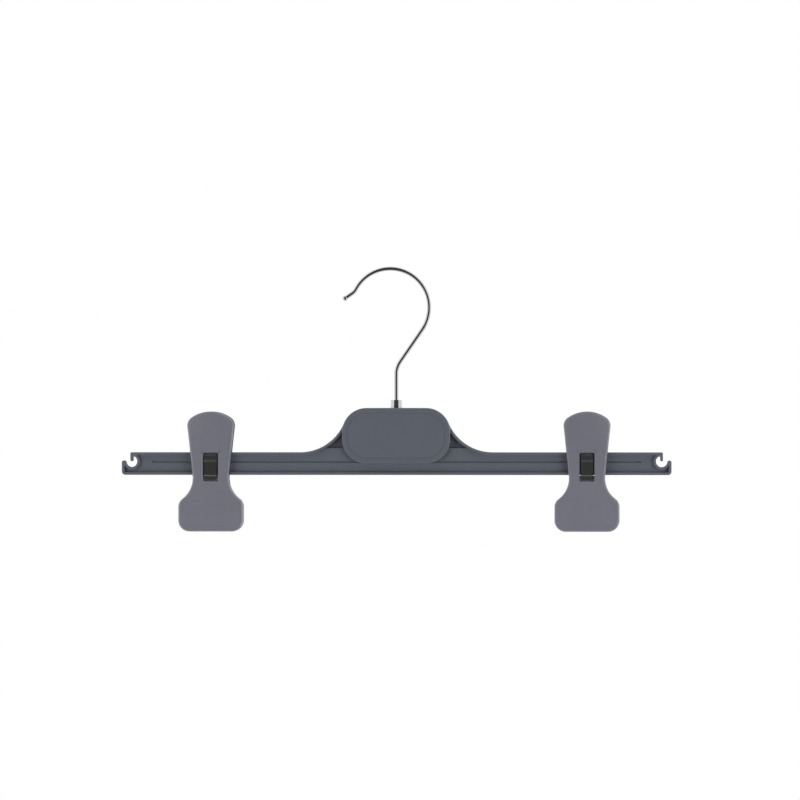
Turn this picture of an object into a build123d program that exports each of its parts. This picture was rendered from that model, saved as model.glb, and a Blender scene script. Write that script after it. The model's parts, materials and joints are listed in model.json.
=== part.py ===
from build123d import *
import os
from math import cos, radians, sin, sqrt, tan

# A clip hanger for skirts and trousers: a moulded bar with a swivel hook and two sprung clips.
# Millimetres, +Z up, +X along the bar, front towards -Y. The origin is the rail seat: the
# underside of the hook's bend, straight above the hook's stem.

# General
overrun = 5.0                   # how far a cut runs past what it cuts
running_fit = 0.05              # radial clearance of a piece that turns in another
half_turn = 180.0

# Bar, an I-section: lips round a recessed face
bar_length = 400.0
bar_height = 16.5
bar_depth = 8.0
lip_thickness = 1.9
lip_round = 0.6
face_recess = 1.3
groove_height = 1.4
groove_depth = 0.9
groove_rise = 1.3               # groove above the bar's middle
groove_end_inset = 22.0         # from the bar's end to the groove's end
face_fall = 1.1                 # how far the lower face falls back towards the lower lip

# Loop notches, one in each end of the bar
notch_inset = 7.2
notch_rise = 1.6
notch_radius = 4.1
barb_inset = 6.2                # from the bar's end to the barb's outer face
barb_width = 2.1
barb_tip_rise = 1.75
prong_rise = 2.3
prong_round = 1.4
bar_corner_round = 2.6
barb_corner_round = 0.9

# Hump over the middle of the bar, with the raised badge panel on its front
badge_width = 78.7
badge_height = 40.4
badge_side = 4.8                # straight side between two corners of the badge
badge_rise = 0.1                # badge's lower edge above the bar's middle
badge_proud = 1.6               # badge face in front of the lips
badge_wall = 2.2
badge_round = 0.8
badge_field_inset = 4.4
badge_field_proud = 0.4
sweep_reach = 31.7              # hollow sweep, from the badge out to where it leaves the bar
sweep_join_share = 0.34         # share of the badge's corner at which the sweep dies into it
badge_corner_blend = 5.0
notch_root_round = 0.7
web_step_rise = 11.3            # upper edge of the bar's thick face inside the hump
web_thickness = 1.6
rib_thickness = 1.6
rib_spacing = 19.0

# Hook and its retaining head
wire_diameter = 3.0
hook_radius = 28.3              # of the wire's centre line
hook_shift = 4.47               # bend's centre to the left of the stem
hook_rise = 113.5               # bend's centre above the bar's middle
neck_angle = 34.5               # slant of the straight neck from upright
neck_bend_radius = 16.0
hook_sweep_angle = 186.5        # from the neck round to the reverse bend
reverse_radius = 8.0
reverse_angle = 27.0
tip_length = 6.5
tip_ball_diameter = 3.9
head_diameter = 5.4
head_thickness = 1.6
head_depth = 10.5               # from the hump's top down to the head's top face

# Ferrule, pressed into the top of the hump
ferrule_diameter = 8.7
ferrule_height = 5.8
ferrule_flange_height = 1.5
ferrule_groove_depth = 0.55
ferrule_groove_height = 0.8
ferrule_groove_count = 3
spigot_diameter = 6.0
spigot_length = 3.0

# Boss for the hook's head, on the back of the hump
boss_width = 11.0
boss_drop = 19.0                # from the hump's top down to the boss's lower end
pocket_width = 7.0
pocket_height = 3.2

# Clips: where they stand on the bar, and the outline of each jaw seen from the front
left_clip_inset = 65.0          # clip's middle from the bar's end
right_clip_inset = 61.35
tab_rise = 37.9                 # tab's top above the bar's middle
tab_crown_radius = 24.0
tab_top_half_width = 18.1       # where the side's line meets the level of the tab's top
tab_shoulder_radius = 7.0
waist_half_width = 12.1         # where the side's line meets the flare's line
waist_drop = 19.2
waist_radius = 18.9
head_half_width = 23.6
head_drop = 27.9
head_shoulder_radius = 7.3
jaw_drop = 49.4                 # jaw's lower edge below the bar's middle
head_corner_radius = 8.3

# Jaw shell: how far it stands off the centre plane, and how it is crowned
jaw_wall = 2.5
jaw_stand = 7.5                 # outer face of the waist from the centre plane
jaw_edge_round = 1.8
tab_flare = 3.8                 # tab's lean outwards at its top
head_taper = 0.7                # how far the head's lower edge leans back in
tab_crown = 7.2                 # how far a section's edge lies behind its middle
section_margin = 2.4            # how far a section runs past the head's edge
tab_section_shares = (
    # rise, flare, crown: shares of the tab's rise, flare and crown
    (1.06, 1.02, 1.0),
    (0.79, 0.87, 0.96),
    (0.58, 0.48, 0.80),
    (0.37, 0.15, 0.50),
    (0.16, 0.00, 0.20),
)
head_section_shares = (
    # drop, taper, crown: shares of the jaw's drop, of the head's taper and of the tab's crown
    (0.10, 0.40, 0.08),
    (0.28, 0.25, 0.05),
    (0.53, -0.10, 0.04),
    (0.80, 0.10, 0.04),
    (1.04, 1.00, 0.04),
)

# Knuckles: each jaw has a nose on one side of the spring and a seat on the other
pivot_rise = 10.8               # hinge line above the bar's middle
nose_radius = 1.5
seat_half_height = 2.2
seat_mouth = 0.7                # seat's open face from the centre plane
knuckle_inner = 6.2
knuckle_length = 5.0
opening_angle = 11.5            # how far each jaw swings open
closed_gap = 0.15               # each half from the centre plane where the halves meet
stop_rib_thickness = 1.6
stop_rib_reach = 19.0           # upper end of the stop rib above the hinge line

# Window, ledge and hood in each jaw
window_half_width = 5.5
window_rise = 7.9
window_drop = 12.9
window_corner = 1.0
window_bevel = 0.35
hood_height = 3.4
hood_proud = 0.8
hood_overlap = 0.4
ledge_drop = 8.7                # ledge under the spring's tongue, below the bar
ledge_height = 5.8
ledge_overlap = 1.6
ledge_front = 4.8               # its face from the centre plane, behind the tongue
ledge_back = 3.6

# Inside of each jaw: nubs in the bar's groove, rim and gripping pad
nub_height = 0.8
nub_length = 4.0
nub_offset = 9.2
nub_reach = 2.1                 # nub's tip from the centre plane
rim_thickness = 1.8
rim_top_drop = 15.0
rim_gap = 1.5                   # rim's edge from the centre plane
pad_height = 8.0
tooth_pitch = 2.0
tooth_depth = 0.7

# Spring, a bent strip over the bar
strip_width = 9.0
strip_thickness = 0.6
strip_crown_radius = 3.8        # bend over the bar, centre line
strip_crown_rise = 10.0
strip_knee_stand = 6.4
strip_knee_rise = 3.05
strip_waist_stand = 5.7
strip_waist_rise = 1.3
strip_belly_stand = 6.1
strip_belly_drop = 2.6
strip_lip_stand = 7.0
strip_lip_drop = 6.9
strip_fold_stand = 6.9
strip_fold_drop = 8.4
strip_tongue_stand = 5.2
strip_tongue_drop = 9.4
strip_end_drop = 11.9
strip_bend_radii = (0.7, 0.6, 6.0, 0.7, 0.5, 0.6)
tongue_corner_radius = 3.6

# Derived places
seat_height = hook_rise + sqrt((hook_radius - wire_diameter / 2) ** 2 - hook_shift ** 2)
bar_level = -seat_height
bar_front = Plane(origin=(0, 0, bar_level), x_dir=(1, 0, 0), z_dir=(0, -1, 0))
bar_side = Plane(origin=(0, 0, bar_level), x_dir=(0, 1, 0), z_dir=(1, 0, 0))
half_length = bar_length / 2
bar_top = bar_height / 2
lip_face = bar_depth / 2
bar_face = lip_face - face_recess
groove_floor = bar_face - groove_depth
groove_half = half_length - groove_end_inset
face_fall_top = groove_rise - groove_height / 2
badge_corner = (badge_height - badge_side) / 2
badge_middle = badge_rise + badge_height / 2
hump_top = badge_rise + badge_height
join_rise = badge_middle + badge_side / 2 + sweep_join_share * badge_corner
join_across = badge_width / 2 - badge_corner * (1 - sqrt(1 - sweep_join_share ** 2))
sweep_start = join_across + sweep_reach
sweep_height = join_rise - bar_top
sweep_radius = (sweep_reach ** 2 + sweep_height ** 2) / (2 * sweep_height)
badge_face = lip_face + badge_proud
head_top = hump_top - head_depth
jaw_back = jaw_stand - jaw_wall
jaw_bite = jaw_back + jaw_wall / 5  # how far inner features reach into the wall
section_half_width = head_half_width + section_margin
left_clip_x = left_clip_inset - half_length
right_clip_x = half_length - right_clip_inset


def near(shape, across, up, reach):
    """The sketch corners that lie within reach of a place, on both sides of the middle."""
    corners = []
    for vertex in shape.vertices():
        if abs(abs(vertex.X) - across) < reach and abs(vertex.Y - up) < reach:
            corners.append(vertex)
    return corners


def body_shape(inset):
    """The front view of the body with its edge drawn in by inset: bar, notches, sweeps, hump."""
    with BuildSketch() as shape:
        Rectangle(bar_length - 2 * inset, bar_height - 2 * inset)
        Rectangle(2 * sweep_start, join_rise + lip_round / 2, align=(Align.CENTER, Align.MIN))
        with Locations((-sweep_start, bar_top + sweep_radius), (sweep_start, bar_top + sweep_radius)):
            Circle(sweep_radius + inset, mode=Mode.SUBTRACT)
        with Locations((0, badge_middle)):
            RectangleRounded(
                badge_width - 2 * inset, badge_height - 2 * inset, badge_corner - inset
            )
        for side in (-1, 1):
            with Locations((side * (half_length - notch_inset), notch_rise)):
                Circle(notch_radius + inset, mode=Mode.SUBTRACT)
            mouth_middle = side * (half_length - barb_inset / 2 + (overrun - inset) / 2)
            with Locations((mouth_middle, (prong_rise - inset + bar_top + overrun) / 2)):
                Rectangle(
                    barb_inset + overrun + inset, bar_top + overrun - prong_rise + inset,
                    mode=Mode.SUBTRACT,
                )
        blend = near(shape, join_across, join_rise, badge_corner_blend)
        fillet(blend, badge_corner_blend + inset)
        fillet(near(shape, half_length - inset, inset - bar_top, lip_thickness / 2), bar_corner_round - inset)
    return shape.sketch


with BuildSketch() as outline:
    add(body_shape(0))
    barb_outer = half_length - barb_inset
    barb_inner = barb_outer - barb_width
    notch_middle = half_length - notch_inset
    for side in (-1, 1):
        with Locations((side * (barb_outer - barb_width / 2), (bar_top + barb_tip_rise) / 2)):
            Rectangle(barb_width, bar_top - barb_tip_rise)
    prong_inner = notch_middle + sqrt(notch_radius ** 2 - (prong_rise - notch_rise) ** 2)
    root_rise = notch_rise + sqrt(notch_radius ** 2 - (notch_middle - barb_inner) ** 2)
    fillet(near(outline, half_length, prong_rise, barb_width / 4), prong_round)
    fillet(near(outline, prong_inner, prong_rise, barb_width / 4), prong_round)
    fillet(near(outline, barb_outer, bar_top, barb_width / 4), barb_corner_round)
    fillet(
        near(outline, barb_outer - barb_width / 2, barb_tip_rise, barb_width * 0.6),
        barb_corner_round,
    )
    fillet(near(outline, barb_inner, root_rise, barb_width / 4), notch_root_round)

with BuildSketch() as recess:
    add(body_shape(lip_thickness))

# Badge panel with its raised field, made apart and joined to the body's front
with BuildPart() as badge:
    with BuildSketch(bar_front.offset(web_thickness / 2)):
        with Locations((0, badge_middle)):
            RectangleRounded(badge_width, badge_height, badge_corner)
    extrude(amount=badge_face - web_thickness / 2)
    panel = badge.faces().sort_by(Axis.Y)[0]
    fillet(panel.outer_wire().edges(), badge_round)
    with BuildSketch(bar_front.offset(badge_face)):
        with Locations((0, badge_middle)):
            RectangleRounded(
                badge_width - 2 * badge_field_inset,
                badge_height - 2 * badge_field_inset,
                badge_corner - badge_field_inset,
            )
    extrude(amount=badge_field_proud)
    field = badge.faces().sort_by(Axis.Y)[0]
    chamfer(field.outer_wire().edges(), badge_field_proud / 2)
badge_panel = badge.part

# Wedge cut from the bar's face below the groove, so that it falls back towards the lower lip
with BuildPart() as fall_wedge:
    with BuildSketch(bar_side):
        Polygon(
            (-bar_face, face_fall_top),
            (-bar_face - overrun, face_fall_top),
            (-bar_face - overrun, -bar_top),
            (face_fall - bar_face, -bar_top),
            align=None,
        )
    extrude(amount=half_length, both=True)
    with BuildSketch(bar_front):
        add(recess.sketch)
    extrude(amount=bar_depth + overrun, mode=Mode.INTERSECT)

# Body: one moulding with lips all round, a thick bar face, a thin web in the hump, the badge
# panel on the front and a cored back with ribs and the boss that holds the hook's head
with BuildPart() as hanger_body:
    with BuildSketch(bar_front):
        add(outline.sketch)
    extrude(amount=lip_face, both=True)
    rims = hanger_body.faces().filter_by(Axis.Y)
    fillet([edge for face in rims for edge in face.outer_wire().edges()], lip_round)

    # Recessed face with its groove, on the front and on the back
    for turn in (1, -1):
        with BuildSketch(bar_front.offset(turn * bar_face)):
            add(recess.sketch)
        extrude(amount=turn * overrun, mode=Mode.SUBTRACT)
        with BuildSketch(bar_front.offset(turn * groove_floor)):
            with Locations((0, groove_rise)):
                SlotOverall(2 * groove_half, groove_height)
        extrude(amount=turn * overrun, mode=Mode.SUBTRACT)
    add(fall_wedge.part, mode=Mode.SUBTRACT)
    add(fall_wedge.part, rotation=(0, 0, half_turn), mode=Mode.SUBTRACT)

    # Thin web of the hump, above the step
    for turn in (1, -1):
        with BuildSketch(bar_front.offset(turn * web_thickness / 2)):
            add(recess.sketch)
            with Locations((0, web_step_rise)):
                Rectangle(bar_length, hump_top, align=(Align.CENTER, Align.MAX), mode=Mode.SUBTRACT)
        extrude(amount=turn * overrun, mode=Mode.SUBTRACT)

    add(badge_panel)

    # Core behind the badge
    with BuildSketch(bar_front.offset(badge_face - badge_wall)):
        with Locations((0, badge_middle)):
            RectangleRounded(
                badge_width - 2 * badge_wall,
                badge_height - 2 * badge_wall,
                badge_corner - badge_wall,
            )
        with Locations((0, web_step_rise)):
            Rectangle(badge_width, hump_top, align=(Align.CENTER, Align.MAX), mode=Mode.SUBTRACT)
    extrude(amount=-(badge_face + lip_face), mode=Mode.SUBTRACT)

    # Ribs and the boss in the core
    core_depth = lip_face + badge_face - badge_wall
    with BuildSketch(bar_front.offset(badge_face - badge_wall)):
        with Locations((-rib_spacing, web_step_rise), (rib_spacing, web_step_rise)):
            Rectangle(
                rib_thickness, hump_top - web_step_rise - lip_thickness / 2,
                align=(Align.CENTER, Align.MIN),
            )
    extrude(amount=-(core_depth - face_recess))
    with BuildSketch(bar_front.offset(badge_face - badge_wall)):
        with Locations((0, hump_top - boss_drop)):
            Rectangle(boss_width, boss_drop - lip_thickness / 2, align=(Align.CENTER, Align.MIN))
        with Locations((0, web_step_rise)):
            Rectangle(
                rib_thickness, hump_top - boss_drop - web_step_rise,
                align=(Align.CENTER, Align.MIN),
            )
    extrude(amount=-core_depth)

    # Stem bore, spigot seat and the pocket for the hook's head, open at the back
    with BuildSketch(Plane.XY.offset(bar_level + head_top)):
        Circle(wire_diameter / 2 + running_fit)
    extrude(amount=hump_top + overrun - head_top, mode=Mode.SUBTRACT)
    with BuildSketch(Plane.XY.offset(bar_level + hump_top - spigot_length)):
        Circle(spigot_diameter / 2)
    extrude(amount=spigot_length + overrun, mode=Mode.SUBTRACT)
    with BuildSketch(bar_front.offset(head_diameter / 2 + running_fit)):
        with Locations((0, head_top + running_fit)):
            Rectangle(pocket_width, pocket_height, align=(Align.CENTER, Align.MAX))
    extrude(amount=-(bar_depth + overrun), mode=Mode.SUBTRACT)

hanger_body.part.label = "hanger_body"


# Hook: stem, slanted neck, bend, reverse bend and tip in one wire, a ball on the tip and an
# upset head on the lower end
neck_start_across = -hook_shift + hook_radius * cos(radians(neck_angle))
neck_start_rise = hook_rise - hook_radius * sin(radians(neck_angle))
neck_length = neck_start_across / sin(radians(neck_angle))
neck_corner_rise = neck_start_rise - neck_length * cos(radians(neck_angle))
bend_tangent = neck_bend_radius * tan(radians(neck_angle / 2))
stem_foot = head_top - head_thickness

with BuildPart() as hook:
    with BuildLine(bar_front) as wire_line:
        stem = Line((0, stem_foot), (0, neck_corner_rise - bend_tangent))
        neck_bend = JernArc(stem @ 1, stem % 1, neck_bend_radius, -neck_angle)
        neck = Line(neck_bend @ 1, (neck_start_across, neck_start_rise))
        bend = JernArc(neck @ 1, neck % 1, hook_radius, hook_sweep_angle)
        reverse = JernArc(bend @ 1, bend % 1, reverse_radius, -reverse_angle)
        tip = Line(reverse @ 1, reverse @ 1 + tip_length * (reverse % 1))
    with BuildSketch(Plane.XY.offset(bar_level + stem_foot)):
        Circle(wire_diameter / 2)
    sweep()
    with Locations(tip @ 1):
        Sphere(tip_ball_diameter / 2)
    with BuildSketch(Plane.XY.offset(bar_level + stem_foot)):
        Circle(head_diameter / 2)
    extrude(amount=head_thickness)
hook.part.label = "hook"


# Ferrule: a turned collar with a spigot in the hump, bored for the hook's stem
with BuildPart() as hook_ferrule:
    with BuildSketch(Plane.XY.offset(bar_level + hump_top)):
        Circle(ferrule_diameter / 2)
    extrude(amount=ferrule_height)
    with BuildSketch(Plane.XY.offset(bar_level + hump_top - spigot_length)):
        Circle(spigot_diameter / 2)
    extrude(amount=spigot_length)
    groove_span = ferrule_height - ferrule_flange_height
    for index in range(ferrule_groove_count):
        level = ferrule_flange_height + (index + 0.5) * groove_span / ferrule_groove_count
        with BuildSketch(Plane.XY.offset(bar_level + hump_top + level - ferrule_groove_height / 2)):
            Circle(ferrule_diameter)
            Circle(ferrule_diameter / 2 - ferrule_groove_depth, mode=Mode.SUBTRACT)
        extrude(amount=ferrule_groove_height, mode=Mode.SUBTRACT)
    with BuildSketch(Plane.XY.offset(bar_level + hump_top - spigot_length)):
        Circle(wire_diameter / 2 + running_fit)
    extrude(amount=spigot_length + ferrule_height, mode=Mode.SUBTRACT)
hook_ferrule.part.label = "hook_ferrule"


def jaw_shape(inset):
    """The front view of a jaw with its edge drawn in by inset: crowned tab, waist and head."""
    with BuildSketch() as shape:
        Polygon(
            (-tab_top_half_width, tab_rise),
            (-waist_half_width, -waist_drop),
            (-head_half_width, -head_drop),
            (-head_half_width, -jaw_drop),
            (head_half_width, -jaw_drop),
            (head_half_width, -head_drop),
            (waist_half_width, -waist_drop),
            (tab_top_half_width, tab_rise),
            align=None,
        )
        with BuildSketch(mode=Mode.INTERSECT):
            with Locations((0, tab_rise - tab_crown_radius)):
                Circle(tab_crown_radius)
                Rectangle(
                    2 * section_half_width, tab_crown_radius + jaw_drop + tab_rise,
                    align=(Align.CENTER, Align.MAX),
                )
        shoulders = shape.vertices().group_by(Axis.Y)[-1]
        fillet(shoulders, tab_shoulder_radius)
        fillet(near(shape, waist_half_width, -waist_drop, jaw_wall), waist_radius)
        fillet(near(shape, head_half_width, -head_drop, jaw_wall), head_shoulder_radius)
        fillet(near(shape, head_half_width, -jaw_drop, jaw_wall), head_corner_radius)
        if inset > 0:
            offset(amount=-inset)
    return shape.sketch


def outer_face(part):
    """The largest face of a part that looks to the front."""
    facing = part.faces().filter_by(lambda face: face.normal_at().Y < -0.9)
    return facing.sort_by(SortBy.AREA)[-1]


with BuildSketch() as window:
    with Locations((0, (window_rise - window_drop) / 2)):
        RectangleRounded(2 * window_half_width, window_rise + window_drop, window_corner)

# Jaw: a crowned shell trimmed to its outline, with knuckles, stop ribs, window, ledge, nubs,
# rim and gripping pad. Modelled at the bar's middle and facing the front.
jaw_sections = []
for rise_share, flare_share, crown_share in tab_section_shares:
    stand = jaw_stand + flare_share * tab_flare
    jaw_sections.append((rise_share * tab_rise, stand, crown_share * tab_crown))
for drop_share, taper_share, crown_share in head_section_shares:
    stand = jaw_stand - taper_share * head_taper
    jaw_sections.append((-drop_share * jaw_drop, stand, crown_share * tab_crown))

with BuildPart() as jaw:
    for level, stand, crown in jaw_sections:
        with BuildSketch(Plane.XY.offset(bar_level + level)):
            with BuildLine():
                outer = ThreePointArc(
                    (-section_half_width, crown - stand), (0, -stand), (section_half_width, crown - stand)
                )
                inner = ThreePointArc(
                    (section_half_width, crown - stand + jaw_wall),
                    (0, jaw_wall - stand),
                    (-section_half_width, crown - stand + jaw_wall),
                )
                Line(outer @ 1, inner @ 0)
                Line(inner @ 1, outer @ 0)
            make_face()
    loft()
    with BuildSketch(bar_front):
        add(jaw_shape(0))
    extrude(amount=jaw_stand + tab_flare + tab_crown, mode=Mode.INTERSECT)
    fillet(outer_face(jaw).outer_wire().edges(), jaw_edge_round)

    # Window with its outer edge bevelled, the hood over it, and the ledge under the tongue
    with BuildSketch(bar_front):
        add(window.sketch)
    extrude(amount=jaw_stand + overrun, mode=Mode.SUBTRACT)
    chamfer(outer_face(jaw).inner_wires()[0].edges(), window_bevel)
    with BuildSketch(bar_side):
        Polygon(
            (-jaw_bite, window_rise),
            (-jaw_stand, window_rise),
            (-jaw_stand - hood_proud, window_rise + hood_proud / 2),
            (-jaw_stand, window_rise + hood_height),
            (-jaw_bite, window_rise + hood_height),
            align=None,
        )
    extrude(amount=window_half_width + hood_overlap, both=True)
    with BuildSketch(bar_front.offset(ledge_back)):
        with Locations((0, -ledge_drop)):
            Rectangle(
                2 * (window_half_width + ledge_overlap), ledge_height,
                align=(Align.CENTER, Align.MAX),
            )
    extrude(amount=jaw_bite - ledge_back)
    with BuildSketch(bar_front.offset(ledge_front)):
        add(window.sketch)
    extrude(amount=jaw_stand, mode=Mode.SUBTRACT)

    # Knuckles: a nose on one side of the spring, a seat on the other
    knuckle_middle = knuckle_inner + knuckle_length / 2
    with BuildSketch(bar_side.offset(knuckle_inner)):
        with Locations((0, pivot_rise)):
            Rectangle(jaw_bite, 2 * nose_radius, align=(Align.MAX, Align.CENTER))
            Circle(nose_radius)
    extrude(amount=knuckle_length)
    with BuildSketch(bar_side.offset(-knuckle_inner)):
        with Locations((-seat_mouth, pivot_rise)):
            Rectangle(jaw_bite - seat_mouth, 2 * seat_half_height, align=(Align.MAX, Align.CENTER))
    extrude(amount=-knuckle_length)

    # Stop ribs: they meet their opposite numbers when the tabs are squeezed together
    stop_slope = tan(radians(opening_angle))
    for side in (-1, 1):
        with BuildSketch(bar_side.offset(side * knuckle_middle)):
            Polygon(
                (-closed_gap - stop_slope * nose_radius / 2, pivot_rise + nose_radius / 2),
                (-closed_gap - stop_slope * stop_rib_reach, pivot_rise + stop_rib_reach),
                (-jaw_bite - stop_slope * stop_rib_reach, pivot_rise + stop_rib_reach),
                (-jaw_bite, pivot_rise + nose_radius / 2),
                align=None,
            )
        extrude(amount=stop_rib_thickness / 2, both=True)

    # Round hollow of the seat, in which the other jaw's nose turns
    with BuildSketch(bar_side.offset(-knuckle_inner)):
        with Locations((0, pivot_rise)):
            Circle(nose_radius + running_fit)
    extrude(amount=-knuckle_length, mode=Mode.SUBTRACT)

    # Nubs that ride in the bar's groove
    with BuildSketch(bar_front.offset(nub_reach)):
        with Locations((-nub_offset, groove_rise), (nub_offset, groove_rise)):
            Rectangle(nub_length, nub_height)
    extrude(amount=jaw_bite - nub_reach)

    # Rim round the head and the gripping pad at its lower edge
    with BuildSketch(bar_front.offset(rim_gap)):
        add(jaw_shape(0))
        add(jaw_shape(rim_thickness), mode=Mode.SUBTRACT)
        with Locations((0, -rim_top_drop)):
            Rectangle(
                2 * section_half_width, tab_rise + rim_top_drop,
                align=(Align.CENTER, Align.MIN), mode=Mode.SUBTRACT,
            )
    extrude(amount=jaw_bite - rim_gap - head_taper)
    with BuildSketch(bar_front.offset(closed_gap)):
        add(jaw_shape(rim_thickness / 2))
        with Locations((0, pad_height - jaw_drop)):
            Rectangle(
                2 * section_half_width, tab_rise + jaw_drop,
                align=(Align.CENTER, Align.MIN), mode=Mode.SUBTRACT,
            )
    extrude(amount=jaw_bite - closed_gap - head_taper)
    tooth_count = int(pad_height / tooth_pitch)
    for index in range(tooth_count):
        with BuildSketch(bar_side):
            with Locations((0, rim_thickness / 2 - jaw_drop + (index + 0.5) * tooth_pitch)):
                Polygon(
                    (overrun, -tooth_pitch / 4),
                    (-closed_gap, -tooth_pitch / 4),
                    (-closed_gap - tooth_depth, 0),
                    (-closed_gap, tooth_pitch / 4),
                    (overrun, tooth_pitch / 4),
                    align=None,
                )
        extrude(amount=section_half_width, both=True, mode=Mode.SUBTRACT)


# Spring: one strip bent over the bar, its tongues in the windows
with BuildPart() as spring:
    with BuildSketch(bar_side):
        with BuildLine() as strip_line:
            legs = FilletPolyline(
                (-strip_crown_radius, strip_crown_rise),
                (-strip_knee_stand, strip_knee_rise),
                (-strip_waist_stand, strip_waist_rise),
                (-strip_belly_stand, -strip_belly_drop),
                (-strip_lip_stand, -strip_lip_drop),
                (-strip_fold_stand, -strip_fold_drop),
                (-strip_tongue_stand, -strip_tongue_drop),
                (-strip_tongue_stand, -strip_end_drop),
                radius=strip_bend_radii,
            )
            mirror(about=Plane.YZ)
            RadiusArc(
                (-strip_crown_radius, strip_crown_rise), (strip_crown_radius, strip_crown_rise),
                strip_crown_radius,
            )
        trace(line_width=strip_thickness)
    extrude(amount=strip_width / 2, both=True)
    with BuildSketch(bar_front):
        with Locations((0, -strip_end_drop)):
            RectangleRounded(
                strip_width, 2 * (strip_end_drop + strip_crown_rise + strip_crown_radius),
                tongue_corner_radius, align=(Align.CENTER, Align.MIN),
            )
    extrude(amount=jaw_stand, both=True, mode=Mode.INTERSECT)

# Two clips, each with a front jaw, the same jaw turned round for the rear, and a spring
os.makedirs("parts", exist_ok=True)
for side, clip_x in (("left", left_clip_x), ("right", right_clip_x)):
    with BuildPart() as front_jaw:
        with Locations((clip_x, 0, 0)):
            add(jaw.part)
    with BuildPart() as rear_jaw:
        with Locations(Location((clip_x, 0, 0), (0, 0, half_turn))):
            add(jaw.part)
    with BuildPart() as clip_spring:
        with Locations((clip_x, 0, 0)):
            add(spring.part)
    front_jaw.part.label = side + "_front_jaw"
    rear_jaw.part.label = side + "_rear_jaw"
    clip_spring.part.label = side + "_spring"
    export_step(front_jaw.part, "parts/" + side + "_front_jaw.step")
    export_step(rear_jaw.part, "parts/" + side + "_rear_jaw.step")
    export_step(clip_spring.part, "parts/" + side + "_spring.step")

export_step(hanger_body.part, "parts/hanger_body.step")
export_step(hook.part, "parts/hook.step")
export_step(hook_ferrule.part, "parts/hook_ferrule.step")
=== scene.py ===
import json
import math

import bmesh
import bpy
from mathutils import Matrix, Vector


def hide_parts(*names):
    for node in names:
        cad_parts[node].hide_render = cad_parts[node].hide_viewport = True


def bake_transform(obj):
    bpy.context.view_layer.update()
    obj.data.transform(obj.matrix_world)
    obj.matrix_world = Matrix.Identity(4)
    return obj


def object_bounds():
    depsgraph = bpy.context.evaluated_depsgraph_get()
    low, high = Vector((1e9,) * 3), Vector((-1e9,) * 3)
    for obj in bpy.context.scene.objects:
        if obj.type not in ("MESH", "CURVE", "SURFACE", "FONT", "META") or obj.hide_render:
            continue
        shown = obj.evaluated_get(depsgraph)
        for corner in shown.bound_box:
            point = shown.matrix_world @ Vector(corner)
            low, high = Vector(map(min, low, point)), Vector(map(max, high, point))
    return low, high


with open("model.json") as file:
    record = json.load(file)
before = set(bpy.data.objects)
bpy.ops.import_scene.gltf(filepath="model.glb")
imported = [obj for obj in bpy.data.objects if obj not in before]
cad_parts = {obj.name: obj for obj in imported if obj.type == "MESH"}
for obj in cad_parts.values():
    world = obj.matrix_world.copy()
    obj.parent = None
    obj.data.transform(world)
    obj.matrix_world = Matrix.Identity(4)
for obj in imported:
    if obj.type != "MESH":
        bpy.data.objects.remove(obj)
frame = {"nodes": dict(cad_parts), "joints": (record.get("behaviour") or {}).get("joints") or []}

bl_info = {
    "name": "Skirt hanger",
    "version": (1, 0, 0),
    "blender": (4, 5, 0),
    "location": "3D View > Sidebar > Hanger",
    "description": "Finishes, clip springs and studio of a skirt hanger with two sliding clips",
    "category": "Object",
}

CAD_BOX = [list(corner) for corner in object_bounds()]
MM = 0.001

JOINTS = {joint["name"]: joint for joint in frame["joints"]}
CLIPS = ("left", "right")
WHITE = (1.0, 1.0, 1.0, 1.0)

# Lamps: how far the side lamps stand from the aim, where the top lamp is from it, and the
# width and height of each kind, in metres
LAMP_DISTANCE = 1.3
SIDE_LAMP_SIZE = (0.9, 0.46)
TOP_LAMP_PLACE = (0.0, -0.3, 1.25)
TOP_LAMP_SIZE = (1.2, 0.5)


def clip_axis(clip):
    """The point on the clip's hinge line at the middle of its spring."""
    return Vector(JOINTS[clip + "_front_pivot"]["pos_m"])


class PlasticLook(bpy.types.PropertyGroup):
    """Colours and surface of the moulded body and clips."""

    body_colour: bpy.props.FloatVectorProperty(
        name="Body", description="Colour of the bar and hump", subtype="COLOR",
        default=(0.093, 0.102, 0.122), min=0, max=1,
    )
    clip_colour: bpy.props.FloatVectorProperty(
        name="Clips", description="Colour of the clip halves", subtype="COLOR",
        default=(0.140, 0.143, 0.169), min=0, max=1,
    )
    roughness: bpy.props.FloatProperty(
        name="Roughness", description="Satin of the moulded faces", default=0.4, min=0.1, max=1,
        subtype="FACTOR",
    )
    grain: bpy.props.FloatProperty(
        name="Grain", description="Size of the spark-eroded texture left by the mould",
        default=0.00035, min=0.0001, max=0.002, unit="LENGTH",
    )
    grain_depth: bpy.props.FloatProperty(
        name="Grain depth", description="How deep the mould texture is", default=0.00002,
        min=0, max=0.0002, unit="LENGTH",
    )


class MetalLook(bpy.types.PropertyGroup):
    """Colours and polish of the hook, the ferrule and the springs."""

    chrome_colour: bpy.props.FloatVectorProperty(
        name="Chrome", description="Colour of the plated wire", subtype="COLOR",
        default=(0.62, 0.62, 0.64), min=0, max=1,
    )
    chrome_roughness: bpy.props.FloatProperty(
        name="Chrome roughness", description="Haze of the plating", default=0.07, min=0.01, max=0.6,
        subtype="FACTOR",
    )
    strip_colour: bpy.props.FloatVectorProperty(
        name="Spring strip", description="Colour of the spring steel", subtype="COLOR",
        default=(0.56, 0.56, 0.57), min=0, max=1,
    )
    strip_roughness: bpy.props.FloatProperty(
        name="Spring roughness", description="Haze of the rolled strip", default=0.13, min=0.02,
        max=0.8, subtype="FACTOR",
    )


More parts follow.
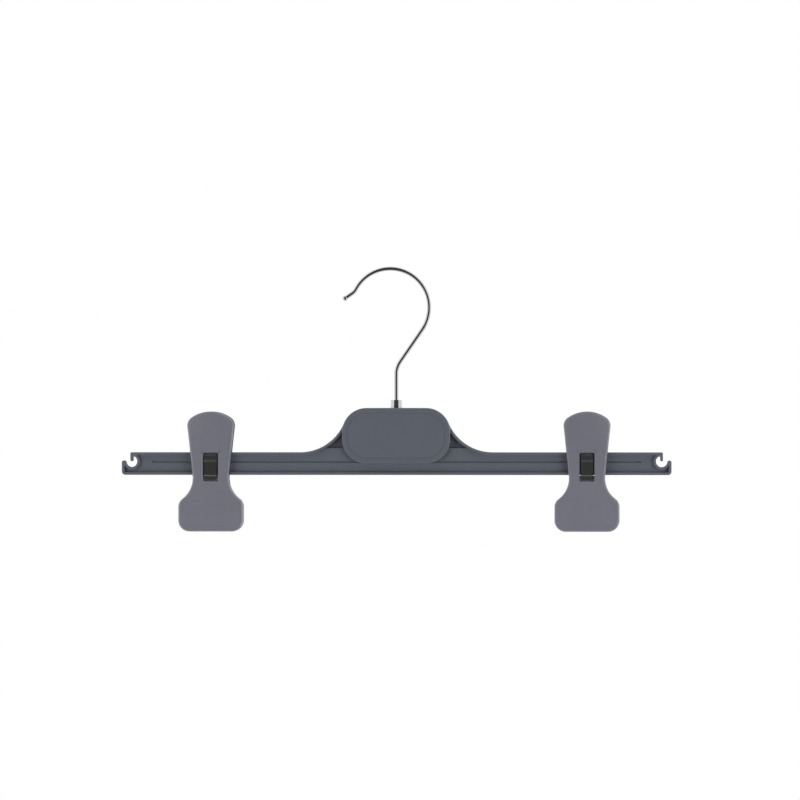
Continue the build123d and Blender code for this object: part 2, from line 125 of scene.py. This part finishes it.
class SpringShape(bpy.types.PropertyGroup):
    """Sizes of the bent strip that closes a clip."""

    width: bpy.props.FloatProperty(
        name="Width", description="Width of the strip", default=0.009, unit="LENGTH",
    )
    thickness: bpy.props.FloatProperty(
        name="Thickness", description="Gauge of the strip", default=0.0006, unit="LENGTH",
    )
    tongue_corner: bpy.props.FloatProperty(
        name="Tongue corner", description="Corner radius at the tongue's end", default=0.0036,
        unit="LENGTH",
    )
    burr: bpy.props.FloatProperty(
        name="Edge round", description="Rounding of the sheared edges", default=0.00012,
        unit="LENGTH",
    )
    step: bpy.props.FloatProperty(
        name="Mesh step", description="Spacing of the mesh along the strip", default=0.0002,
        unit="LENGTH",
    )


class StudioSetup(bpy.types.PropertyGroup):
    """Camera, lamps and backdrop."""

    distance: bpy.props.FloatProperty(
        name="Camera distance", description="From the camera to the hanger", default=4.5,
        unit="LENGTH",
    )
    turn: bpy.props.FloatProperty(
        name="Camera turn", description="How far the camera stands to the right",
        default=math.radians(2.45), subtype="ANGLE",
    )
    view_width: bpy.props.FloatProperty(
        name="View width", description="Width of the picture at the hanger", default=0.5819,
        unit="LENGTH",
    )
    aim: bpy.props.FloatVectorProperty(
        name="Aim", description="Point at the middle of the picture",
        default=(0.00265, 0.0, -0.09366), subtype="TRANSLATION",
    )
    side_turn: bpy.props.FloatProperty(
        name="Side lamp turn", description="From the camera's direction round to a side lamp",
        default=math.radians(63), subtype="ANGLE",
    )
    side_height: bpy.props.FloatProperty(
        name="Side lamp height", description="Height of the side lamps' middles", default=-0.285,
        unit="LENGTH",
    )
    side_light: bpy.props.FloatProperty(
        name="Side lamps", description="Power of each of the four lamps round the hanger",
        default=13.5, unit="POWER",
    )
    top_light: bpy.props.FloatProperty(
        name="Top lamp", description="Power of the lamp overhead", default=12.0, unit="POWER",
    )
    fill: bpy.props.FloatProperty(
        name="Fill", description="Level of the white room's light on the hanger", default=0.46,
        min=0,
    )
    dark_front: bpy.props.FloatProperty(
        name="Dark front", description="Level of the room behind the camera", default=0.06,
        min=0,
    )
    dark_reach: bpy.props.FloatVectorProperty(
        name="Dark reach", description="Sines of the angles across and up that the dark covers",
        default=(0.74, 1.0), size=2, min=0.1, max=1.2,
    )
    floor_drop: bpy.props.FloatProperty(
        name="Floor drop", description="How far the floor lies under the clips", default=0.38,
        unit="LENGTH",
    )
    floor_reach: bpy.props.FloatProperty(
        name="Floor reach", description="From the floor's middle to its edges", default=0.6,
        unit="LENGTH",
    )


class Value:
    """A shader socket that takes part in Python arithmetic."""

    def __init__(self, maker, socket):
        self.maker = maker
        self.socket = socket

    def _math(self, operation, *values, clamp=False):
        return self.maker.node(
            "ShaderNodeMath", {"operation": operation, "use_clamp": clamp},
            {index: value for index, value in enumerate(values)},
        )

    def __add__(self, other):
        return self._math("ADD", self, other)

    def __radd__(self, other):
        return self._math("ADD", other, self)

    def __sub__(self, other):
        return self._math("SUBTRACT", self, other)

    def __rsub__(self, other):
        return self._math("SUBTRACT", other, self)

    def __mul__(self, other):
        return self._math("MULTIPLY", self, other)

    def __rmul__(self, other):
        return self._math("MULTIPLY", other, self)

    def __lt__(self, other):
        return self._math("LESS_THAN", self, other)

    def clamped(self):
        return self._math("ADD", self, 0.0, clamp=True)


class Finish:
    """A material's node tree, made one node at a time."""

    def __init__(self, holder):
        holder.use_nodes = True
        self.tree = holder.node_tree
        self.tree.nodes.clear()

    def node(self, kind, settings=None, inputs=None, output=0):
        """Adds a node, gives it its settings, then its socket values or links."""
        made = self.tree.nodes.new(kind)
        for name, setting in (settings or {}).items():
            setattr(made, name, setting)
        for name, value in (inputs or {}).items():
            if isinstance(value, Value):
                self.tree.links.new(value.socket, made.inputs[name])
            else:
                made.inputs[name].default_value = value
        return Value(self, made.outputs[output]) if made.outputs else None

    def place(self):
        """The surface point in the hanger's own frame."""
        return self.node("ShaderNodeTexCoord", output="Object")

    def stretched(self, scale):
        """The surface point, stretched or shrunk for a pattern."""
        return self.node(
            "ShaderNodeVectorMath", {"operation": "MULTIPLY"}, {0: self.place(), 1: scale}
        )

    def noise(self, size, detail=2.0, scale=(1, 1, 1), roughness=0.5):
        """Noise from 0 to 1 with lumps of about the given size in metres."""
        return self.node(
            "ShaderNodeTexNoise", inputs={
                "Vector": self.stretched(scale), "Scale": 1.0 / size, "Detail": detail,
                "Roughness": roughness,
            }, output="Fac",
        )

    def mix(self, factor, first, second):
        """A colour between two others."""
        return self.node(
            "ShaderNodeMix", {"data_type": "RGBA"}, {0: factor, 6: first, 7: second}, output=2
        )

    def bump(self, height, distance, strength=1.0, normal=None):
        """A bumped normal from a height between 0 and 1."""
        inputs = {"Height": height, "Distance": distance, "Strength": strength}
        if normal is not None:
            inputs["Normal"] = normal
        return self.node("ShaderNodeBump", inputs=inputs)

    def surface(self, **inputs):
        """Ends the tree in a Principled shader."""
        named = {name.replace("_", " "): value for name, value in inputs.items()}
        shader = self.node("ShaderNodeBsdfPrincipled", inputs=named)
        self.node("ShaderNodeOutputMaterial", inputs={"Surface": shader})


def opaque(colour, gain=1.0):
    """A colour with its fourth component, made lighter or darker."""
    return tuple(min(1.0, part * gain) for part in colour) + (1.0,)


def moulded_plastic(name, colour, look):
    """Satin grey moulding: fine mould grain, faint clouding and a soft sheen."""
    material = bpy.data.materials.new(name)
    finish = Finish(material)
    cloud_size, speckle_size, handled_size = 22.0 * MM, 1.1 * MM, 9.0 * MM
    sink_size, sink_depth = 13.0 * MM, 0.12 * MM
    darker, paler, speck = 0.95, 1.05, 1.09
    speck_share, satin_spread = 0.35, 0.14
    clouds = finish.noise(cloud_size, detail=3.0)
    speckle = finish.noise(speckle_size, detail=1.0)
    handled = finish.noise(handled_size, detail=4.0, scale=(1.0, 1.0, 0.6))
    tint = finish.mix(clouds, opaque(colour, darker), opaque(colour, paler))
    tint = finish.mix(speckle * speck_share, tint, opaque(colour, speck))
    grain = finish.noise(look.grain, detail=2.0, roughness=0.6)
    sink = finish.noise(sink_size, detail=1.0)
    relief = finish.bump(sink, sink_depth, strength=0.35)
    relief = finish.bump(grain, look.grain_depth, strength=0.8, normal=relief)
    finish.surface(
        Base_Color=tint, Roughness=look.roughness + (handled - 0.5) * satin_spread,
        IOR=1.55, Normal=relief,
    )
    return material


def plated_wire(name, look):
    """Bright plating with a faint drawn grain and a little haze."""
    material = bpy.data.materials.new(name)
    finish = Finish(material)
    haze_size, drawn_size, drawn_depth = 6.0 * MM, 0.7 * MM, 0.004 * MM
    darker, paler, haze_spread = 0.94, 1.04, 0.05
    haze = finish.noise(haze_size, detail=3.0)
    drawn = finish.noise(drawn_size, detail=2.0, scale=(1.0, 1.0, 0.25))
    colour = look.chrome_colour
    tint = finish.mix(haze, opaque(colour, darker), opaque(colour, paler))
    relief = finish.bump(drawn, drawn_depth, strength=0.5)
    finish.surface(
        Base_Color=tint, Metallic=1.0, Roughness=look.chrome_roughness + haze * haze_spread,
        Normal=relief,
    )
    return material


def rolled_strip(name, look):
    """Spring steel: rolling lines along the strip and a few faint warm spots."""
    material = bpy.data.materials.new(name)
    finish = Finish(material)
    line_size, line_depth, spot_size = 0.4 * MM, 0.002 * MM, 2.5 * MM
    darker, paler, spot_share, spot_haze = 0.90, 1.06, 0.3, 0.06
    green_kept, blue_kept = 0.96, 0.88
    lines = finish.noise(line_size, detail=2.0, scale=(1.0, 0.06, 0.06))
    spots = finish.noise(spot_size, detail=3.0)
    colour = look.strip_colour
    straw = (colour[0], colour[1] * green_kept, colour[2] * blue_kept)
    tint = finish.mix(lines, opaque(colour, darker), opaque(colour, paler))
    tint = finish.mix(spots * spot_share, tint, opaque(straw))
    relief = finish.bump(lines, line_depth, strength=0.5)
    finish.surface(
        Base_Color=tint, Metallic=1.0, Roughness=look.strip_roughness + spots * spot_haze,
        Normal=relief,
    )
    return material


def dress(nodes, material):
    """Gives CAD nodes a material in place of their own."""
    for name in nodes:
        slots = frame["nodes"][name].data.materials
        if len(slots):
            for index in range(len(slots)):
                slots[index] = material
        else:
            slots.append(material)


def finished(name, shape):
    """Makes a bmesh an object in the scene."""
    mesh = bpy.data.meshes.new(name)
    shape.to_mesh(mesh)
    shape.free()
    piece = bpy.data.objects.new(name, mesh)
    bpy.context.scene.collection.objects.link(piece)
    return piece


# Corners of the strip's front leg in the YZ plane, from the top of its crown to the tongue's
# end, in millimetres from the bar's middle line, each with its bend radius
STRIP_CORNERS = (
    ((0.0, 13.8), None),
    ((-3.8, 13.8), 3.6),
    ((-3.8, 10.0), 1.0),
    ((-6.4, 3.05), 0.7),
    ((-5.7, 1.3), 0.6),
    ((-6.1, -2.6), 6.0),
    ((-7.0, -6.9), 0.7),
    ((-6.9, -8.4), 0.5),
    ((-5.2, -9.4), 0.6),
    ((-5.2, -11.9), None),
)
PIVOT_OVER_BAR = 10.8           # hinge line above the bar's middle line, in millimetres
CORNER_CUTS = 9                 # flats that round each corner of a tongue
STRIP_COLUMNS = 8               # mesh faces across the strip


def strip_pieces():
    """The front leg's first heading, and its straight runs and bends as (length, turn)."""
    points = [Vector(corner) * MM for corner, _ in STRIP_CORNERS]
    headings = [
        math.atan2(*reversed((after - before).normalized()[:]))
        for before, after in zip(points, points[1:])
    ]
    pieces = []
    spent = 0.0
    for index in range(1, len(points)):
        length = (points[index] - points[index - 1]).length
        if index == len(points) - 1:
            pieces.append((length - spent, 0.0))
            break
        turn = (headings[index] - headings[index - 1] + math.pi) % (2 * math.pi) - math.pi
        radius = STRIP_CORNERS[index][1] * MM
        tangent = radius * math.tan(abs(turn) / 2)
        pieces.append((length - spent - tangent, 0.0))
        pieces.append((radius * abs(turn), turn))
        spent = tangent
    return headings[0], pieces


def strip_place(travel, heading, pieces):
    """Where a point of the flat strip comes to lie once the strip is bent: (y, z)."""
    y, z = (part * MM for part in STRIP_CORNERS[0][0])
    for length, turn in pieces:
        run = min(travel, length)
        if turn and length > 0:
            swept = turn * run / length
            radius = length / abs(turn)
            side = math.copysign(1.0, turn)
            y += radius * side * (math.sin(heading + swept) - math.sin(heading))
            z -= radius * side * (math.cos(heading + swept) - math.cos(heading))
            heading += swept
        else:
            y += run * math.cos(heading)
            z += run * math.sin(heading)
        travel -= run
        if travel <= 0:
            break
    return y, z


def spring_half(name, axis_point, facing, shape):
    """One leg of a spring: a flat strip with a rounded tongue, bent to its profile."""
    heading, pieces = strip_pieces()
    length = sum(run for run, _ in pieces)
    rows = round(length / shape.step)
    strip = bmesh.new()
    bmesh.ops.create_grid(strip, x_segments=STRIP_COLUMNS, y_segments=rows, size=0.5)
    bmesh.ops.scale(strip, vec=(shape.width, length, 1.0), verts=strip.verts)
    bmesh.ops.translate(strip, vec=(0.0, length / 2, 0.0), verts=strip.verts)
    corner = shape.tongue_corner
    for side in (-1, 1):
        centre = Vector((side * (shape.width / 2 - corner), length - corner, 0.0))
        for cut in range(CORNER_CUTS):
            angle = math.radians(90 * (cut + 0.5) / CORNER_CUTS)
            outward = Vector((side * math.cos(angle), math.sin(angle), 0.0))
            bmesh.ops.bisect_plane(
                strip, geom=strip.verts[:] + strip.edges[:] + strip.faces[:],
                plane_co=centre + outward * corner, plane_no=outward, clear_outer=True,
            )
    for vert in strip.verts:
        y, z = strip_place(vert.co.y, heading, pieces)
        vert.co = Vector((vert.co.x, y, z - PIVOT_OVER_BAR * MM))
    if facing > 0:
        half_turn = Matrix.Rotation(math.pi, 3, "Z")
        bmesh.ops.rotate(strip, cent=(0, 0, 0), matrix=half_turn, verts=strip.verts)
    bmesh.ops.translate(strip, vec=axis_point, verts=strip.verts)
    bmesh.ops.recalc_face_normals(strip, faces=strip.faces)
    for face in strip.faces:
        face.smooth = True
    piece = finished(name, strip)
    wall = piece.modifiers.new("Gauge", "SOLIDIFY")
    wall.thickness = shape.thickness
    wall.offset = 0.0
    wall.use_even_offset = True
    edge = piece.modifiers.new("Sheared edge", "BEVEL")
    edge.width = shape.burr
    edge.segments = 2
    edge.limit_method = "ANGLE"
    edge.angle_limit = math.radians(50)
    return piece


class HANGER_OT_body(bpy.types.Operator):
    """Finish the moulded bar with its hump and badge"""

    bl_idname = "hanger.body"
    bl_label = "Finish body"

    def execute(self, context):
        look = context.scene.hanger_plastic
        dress(["hanger_body"], moulded_plastic("Body plastic", look.body_colour, look))
        return {"FINISHED"}


class HANGER_OT_clips(bpy.types.Operator):
    """Finish the four clip halves"""

    bl_idname = "hanger.clips"
    bl_label = "Finish clips"

    def execute(self, context):
        look = context.scene.hanger_plastic
        halves = [clip + half for clip in CLIPS for half in ("_front_jaw", "_rear_jaw")]
        dress(halves, moulded_plastic("Clip plastic", look.clip_colour, look))
        return {"FINISHED"}


class HANGER_OT_hook(bpy.types.Operator):
    """Finish the wire hook and its ferrule"""

    bl_idname = "hanger.hook"
    bl_label = "Finish hook"

    def execute(self, context):
        look = context.scene.hanger_metal
        dress(["hook", "hook_ferrule"], plated_wire("Plated wire", look))
        return {"FINISHED"}


class HANGER_OT_springs(bpy.types.Operator):
    """Make the bent strip of each clip, a leg for each half"""

    bl_idname = "hanger.springs"
    bl_label = "Make springs"

    def execute(self, context):
        shape = context.scene.hanger_spring
        steel = rolled_strip("Spring strip", context.scene.hanger_metal)
        for clip in CLIPS:
            centre = clip_axis(clip)
            for half, facing in (("front", -1), ("rear", 1)):
                leg = spring_half(clip + "_spring_" + half, centre, facing, shape)
                leg.data.materials.append(steel)
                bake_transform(leg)
                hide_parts(clip + "_spring")
        return {"FINISHED"}


def tent_level(finish, way, setup):
    """The white tent round the hanger: dark only in an oval behind the camera."""
    across, ahead, up = (
        finish.node("ShaderNodeSeparateXYZ", inputs={0: way}, output=axis) for axis in range(3)
    )
    wide, high = setup.dark_reach
    edge, sharpness = 1.1, 4.0
    reach = (across * across) * (1.0 / wide ** 2) + (up * up) * (1.0 / high ** 2)
    darkness = ((edge - reach) * sharpness).clamped() * (ahead < 0.0)
    return darkness * (setup.dark_front - 1.0) + 1.0


def ray_kinds(finish):
    """Light Path's marks for camera, mirrored and refracted rays."""
    return [
        finish.node("ShaderNodeLightPath", output=kind)
        for kind in ("Is Camera Ray", "Is Glossy Ray", "Is Transmission Ray")
    ]


def studio_world(world, setup):
    """A white room for the camera, and a tent of soft light, dark behind the camera."""
    finish = Finish(world)
    way = finish.node("ShaderNodeTexCoord", output="Generated")
    up = finish.node("ShaderNodeSeparateXYZ", inputs={0: way}, output=2)
    seen, shine, clear = ray_kinds(finish)
    tent = tent_level(finish, way, setup)
    soft = (tent * 0.5 + 0.5) * (up * 0.5 + 0.5) * setup.fill
    other = (1.0 - seen - shine - clear).clamped()
    strength = seen + shine * tent + clear + other * soft
    light = finish.node("ShaderNodeBackground", inputs={"Color": WHITE, "Strength": strength})
    finish.node("ShaderNodeOutputWorld", inputs={"Surface": light})


def floor_paint(setup):
    """Pale paint that keeps the shadow and turns to the room's white towards its edges."""
    paint = bpy.data.materials.new("Floor paint")
    finish = Finish(paint)
    seen, shine, clear = ray_kinds(finish)
    away = finish.node(
        "ShaderNodeVectorMath", {"operation": "LENGTH"},
        {0: finish.stretched((1.0, 1.0, 0.0))}, output="Value",
    )
    fade_start, fade_width = setup.floor_reach * 0.45, setup.floor_reach * 0.5
    edge = ((away - fade_start) * (1.0 / fade_width)).clamped()
    way = finish.node("ShaderNodeVectorMath", {"operation": "NORMALIZE"}, {0: finish.place()})
    glow = finish.node(
        "ShaderNodeEmission", inputs={
            "Color": finish.mix(
                shine * (1.0 - tent_level(finish, way, setup)),
                WHITE, opaque((setup.dark_front,) * 3),
            ),
        },
    )
    shade_size, dull, pale = 0.4, opaque((0.86,) * 3), opaque((0.90,) * 3)
    shade = finish.noise(shade_size, detail=1.0)
    matt = finish.node(
        "ShaderNodeBsdfPrincipled", inputs={
            "Base Color": finish.mix(shade, dull, pale),
            "Roughness": 0.9,
        },
    )
    face = finish.node(
        "ShaderNodeMixShader", inputs={0: (seen * edge + shine + clear).clamped(), 1: matt, 2: glow}
    )
    finish.node("ShaderNodeOutputMaterial", inputs={"Surface": face})
    return paint


def soft_lamp(name, place, aim, width, height, power):
    """A rectangular lamp turned to a point, which lights but isn't seen or mirrored."""
    data = bpy.data.lights.new(name, "AREA")
    data.shape = "RECTANGLE"
    data.size = width
    data.size_y = height
    data.energy = power
    lamp = bpy.data.objects.new(name, data)
    lamp.location = place
    lamp.rotation_euler = (Vector(aim) - Vector(place)).to_track_quat("-Z", "Y").to_euler()
    lamp.visible_camera = False
    lamp.visible_glossy = False
    bpy.context.scene.collection.objects.link(lamp)
    return lamp


class HANGER_OT_stage(bpy.types.Operator):
    """Set up the floor, the room, the lamps and the camera"""

    bl_idname = "hanger.stage"
    bl_label = "Set up studio"

    def execute(self, context):
        scene = context.scene
        setup = scene.hanger_studio
        scene.view_settings.view_transform = "Standard"

        world = bpy.data.worlds.new("Studio")
        studio_world(world, setup)
        scene.world = world

        floor = bmesh.new()
        bmesh.ops.create_grid(floor, x_segments=1, y_segments=1, size=setup.floor_reach)
        lowest = CAD_BOX[0][2] - setup.floor_drop
        bmesh.ops.translate(floor, vec=(0.0, 0.0, lowest), verts=floor.verts)
        ground = finished("Floor", floor)
        ground.data.materials.append(floor_paint(setup))

        aim = Vector(setup.aim)
        turn = setup.side_turn
        for end, depth in (("Front", -1), ("Back", 1)):
            for hand, side in (("left", -1), ("right", 1)):
                way = Vector((side * math.sin(turn), depth * math.cos(turn), 0.0))
                lamp = soft_lamp(
                    end + " " + hand + " lamp", aim + way * LAMP_DISTANCE, aim,
                    *SIDE_LAMP_SIZE, setup.side_light,
                )
                lamp.location.z = setup.side_height
        soft_lamp(
            "Top lamp", aim + Vector(TOP_LAMP_PLACE), aim, *TOP_LAMP_SIZE, setup.top_light
        )

        data = bpy.data.cameras.new("Camera")
        data.sensor_width = 36.0
        data.lens = data.sensor_width * setup.distance / setup.view_width
        data.clip_end = 50.0
        camera = bpy.data.objects.new("Camera", data)
        back = Vector((math.sin(setup.turn), -math.cos(setup.turn), 0.0))
        camera.location = aim + back * setup.distance
        camera.rotation_euler = (-back).to_track_quat("-Z", "Y").to_euler()
        scene.collection.objects.link(camera)
        scene.camera = camera
        return {"FINISHED"}


class HANGER_PT_panel(bpy.types.Panel):
    """The hanger's settings and steps"""

    bl_idname = "HANGER_PT_panel"
    bl_label = "Skirt hanger"
    bl_space_type = "VIEW_3D"
    bl_region_type = "UI"
    bl_category = "Hanger"

    def draw(self, context):
        layout = self.layout
        for group in GROUPS:
            box = layout.box()
            settings = getattr(context.scene, group)
            for name in settings.bl_rna.properties.keys():
                if name not in ("rna_type", "name"):
                    box.prop(settings, name)
        for operator in STEPS:
            layout.operator(operator.bl_idname)


STEPS = (
    HANGER_OT_body,
    HANGER_OT_clips,
    HANGER_OT_hook,
    HANGER_OT_springs,
    HANGER_OT_stage,
)
GROUPS = {
    "hanger_plastic": PlasticLook,
    "hanger_metal": MetalLook,
    "hanger_spring": SpringShape,
    "hanger_studio": StudioSetup,
}


def register():
    for group, kind in GROUPS.items():
        bpy.utils.register_class(kind)
        setattr(bpy.types.Scene, group, bpy.props.PointerProperty(type=kind))
    for kind in STEPS + (HANGER_PT_panel,):
        bpy.utils.register_class(kind)


def unregister():
    for kind in reversed(STEPS + (HANGER_PT_panel,)):
        bpy.utils.unregister_class(kind)
    for group, kind in reversed(GROUPS.items()):
        delattr(bpy.types.Scene, group)
        bpy.utils.unregister_class(kind)


def main():
    register()
    bpy.ops.hanger.body()
    bpy.ops.hanger.clips()
    bpy.ops.hanger.hook()
    bpy.ops.hanger.springs()
    bpy.ops.hanger.stage()


if __name__ == "__main__":
    main()
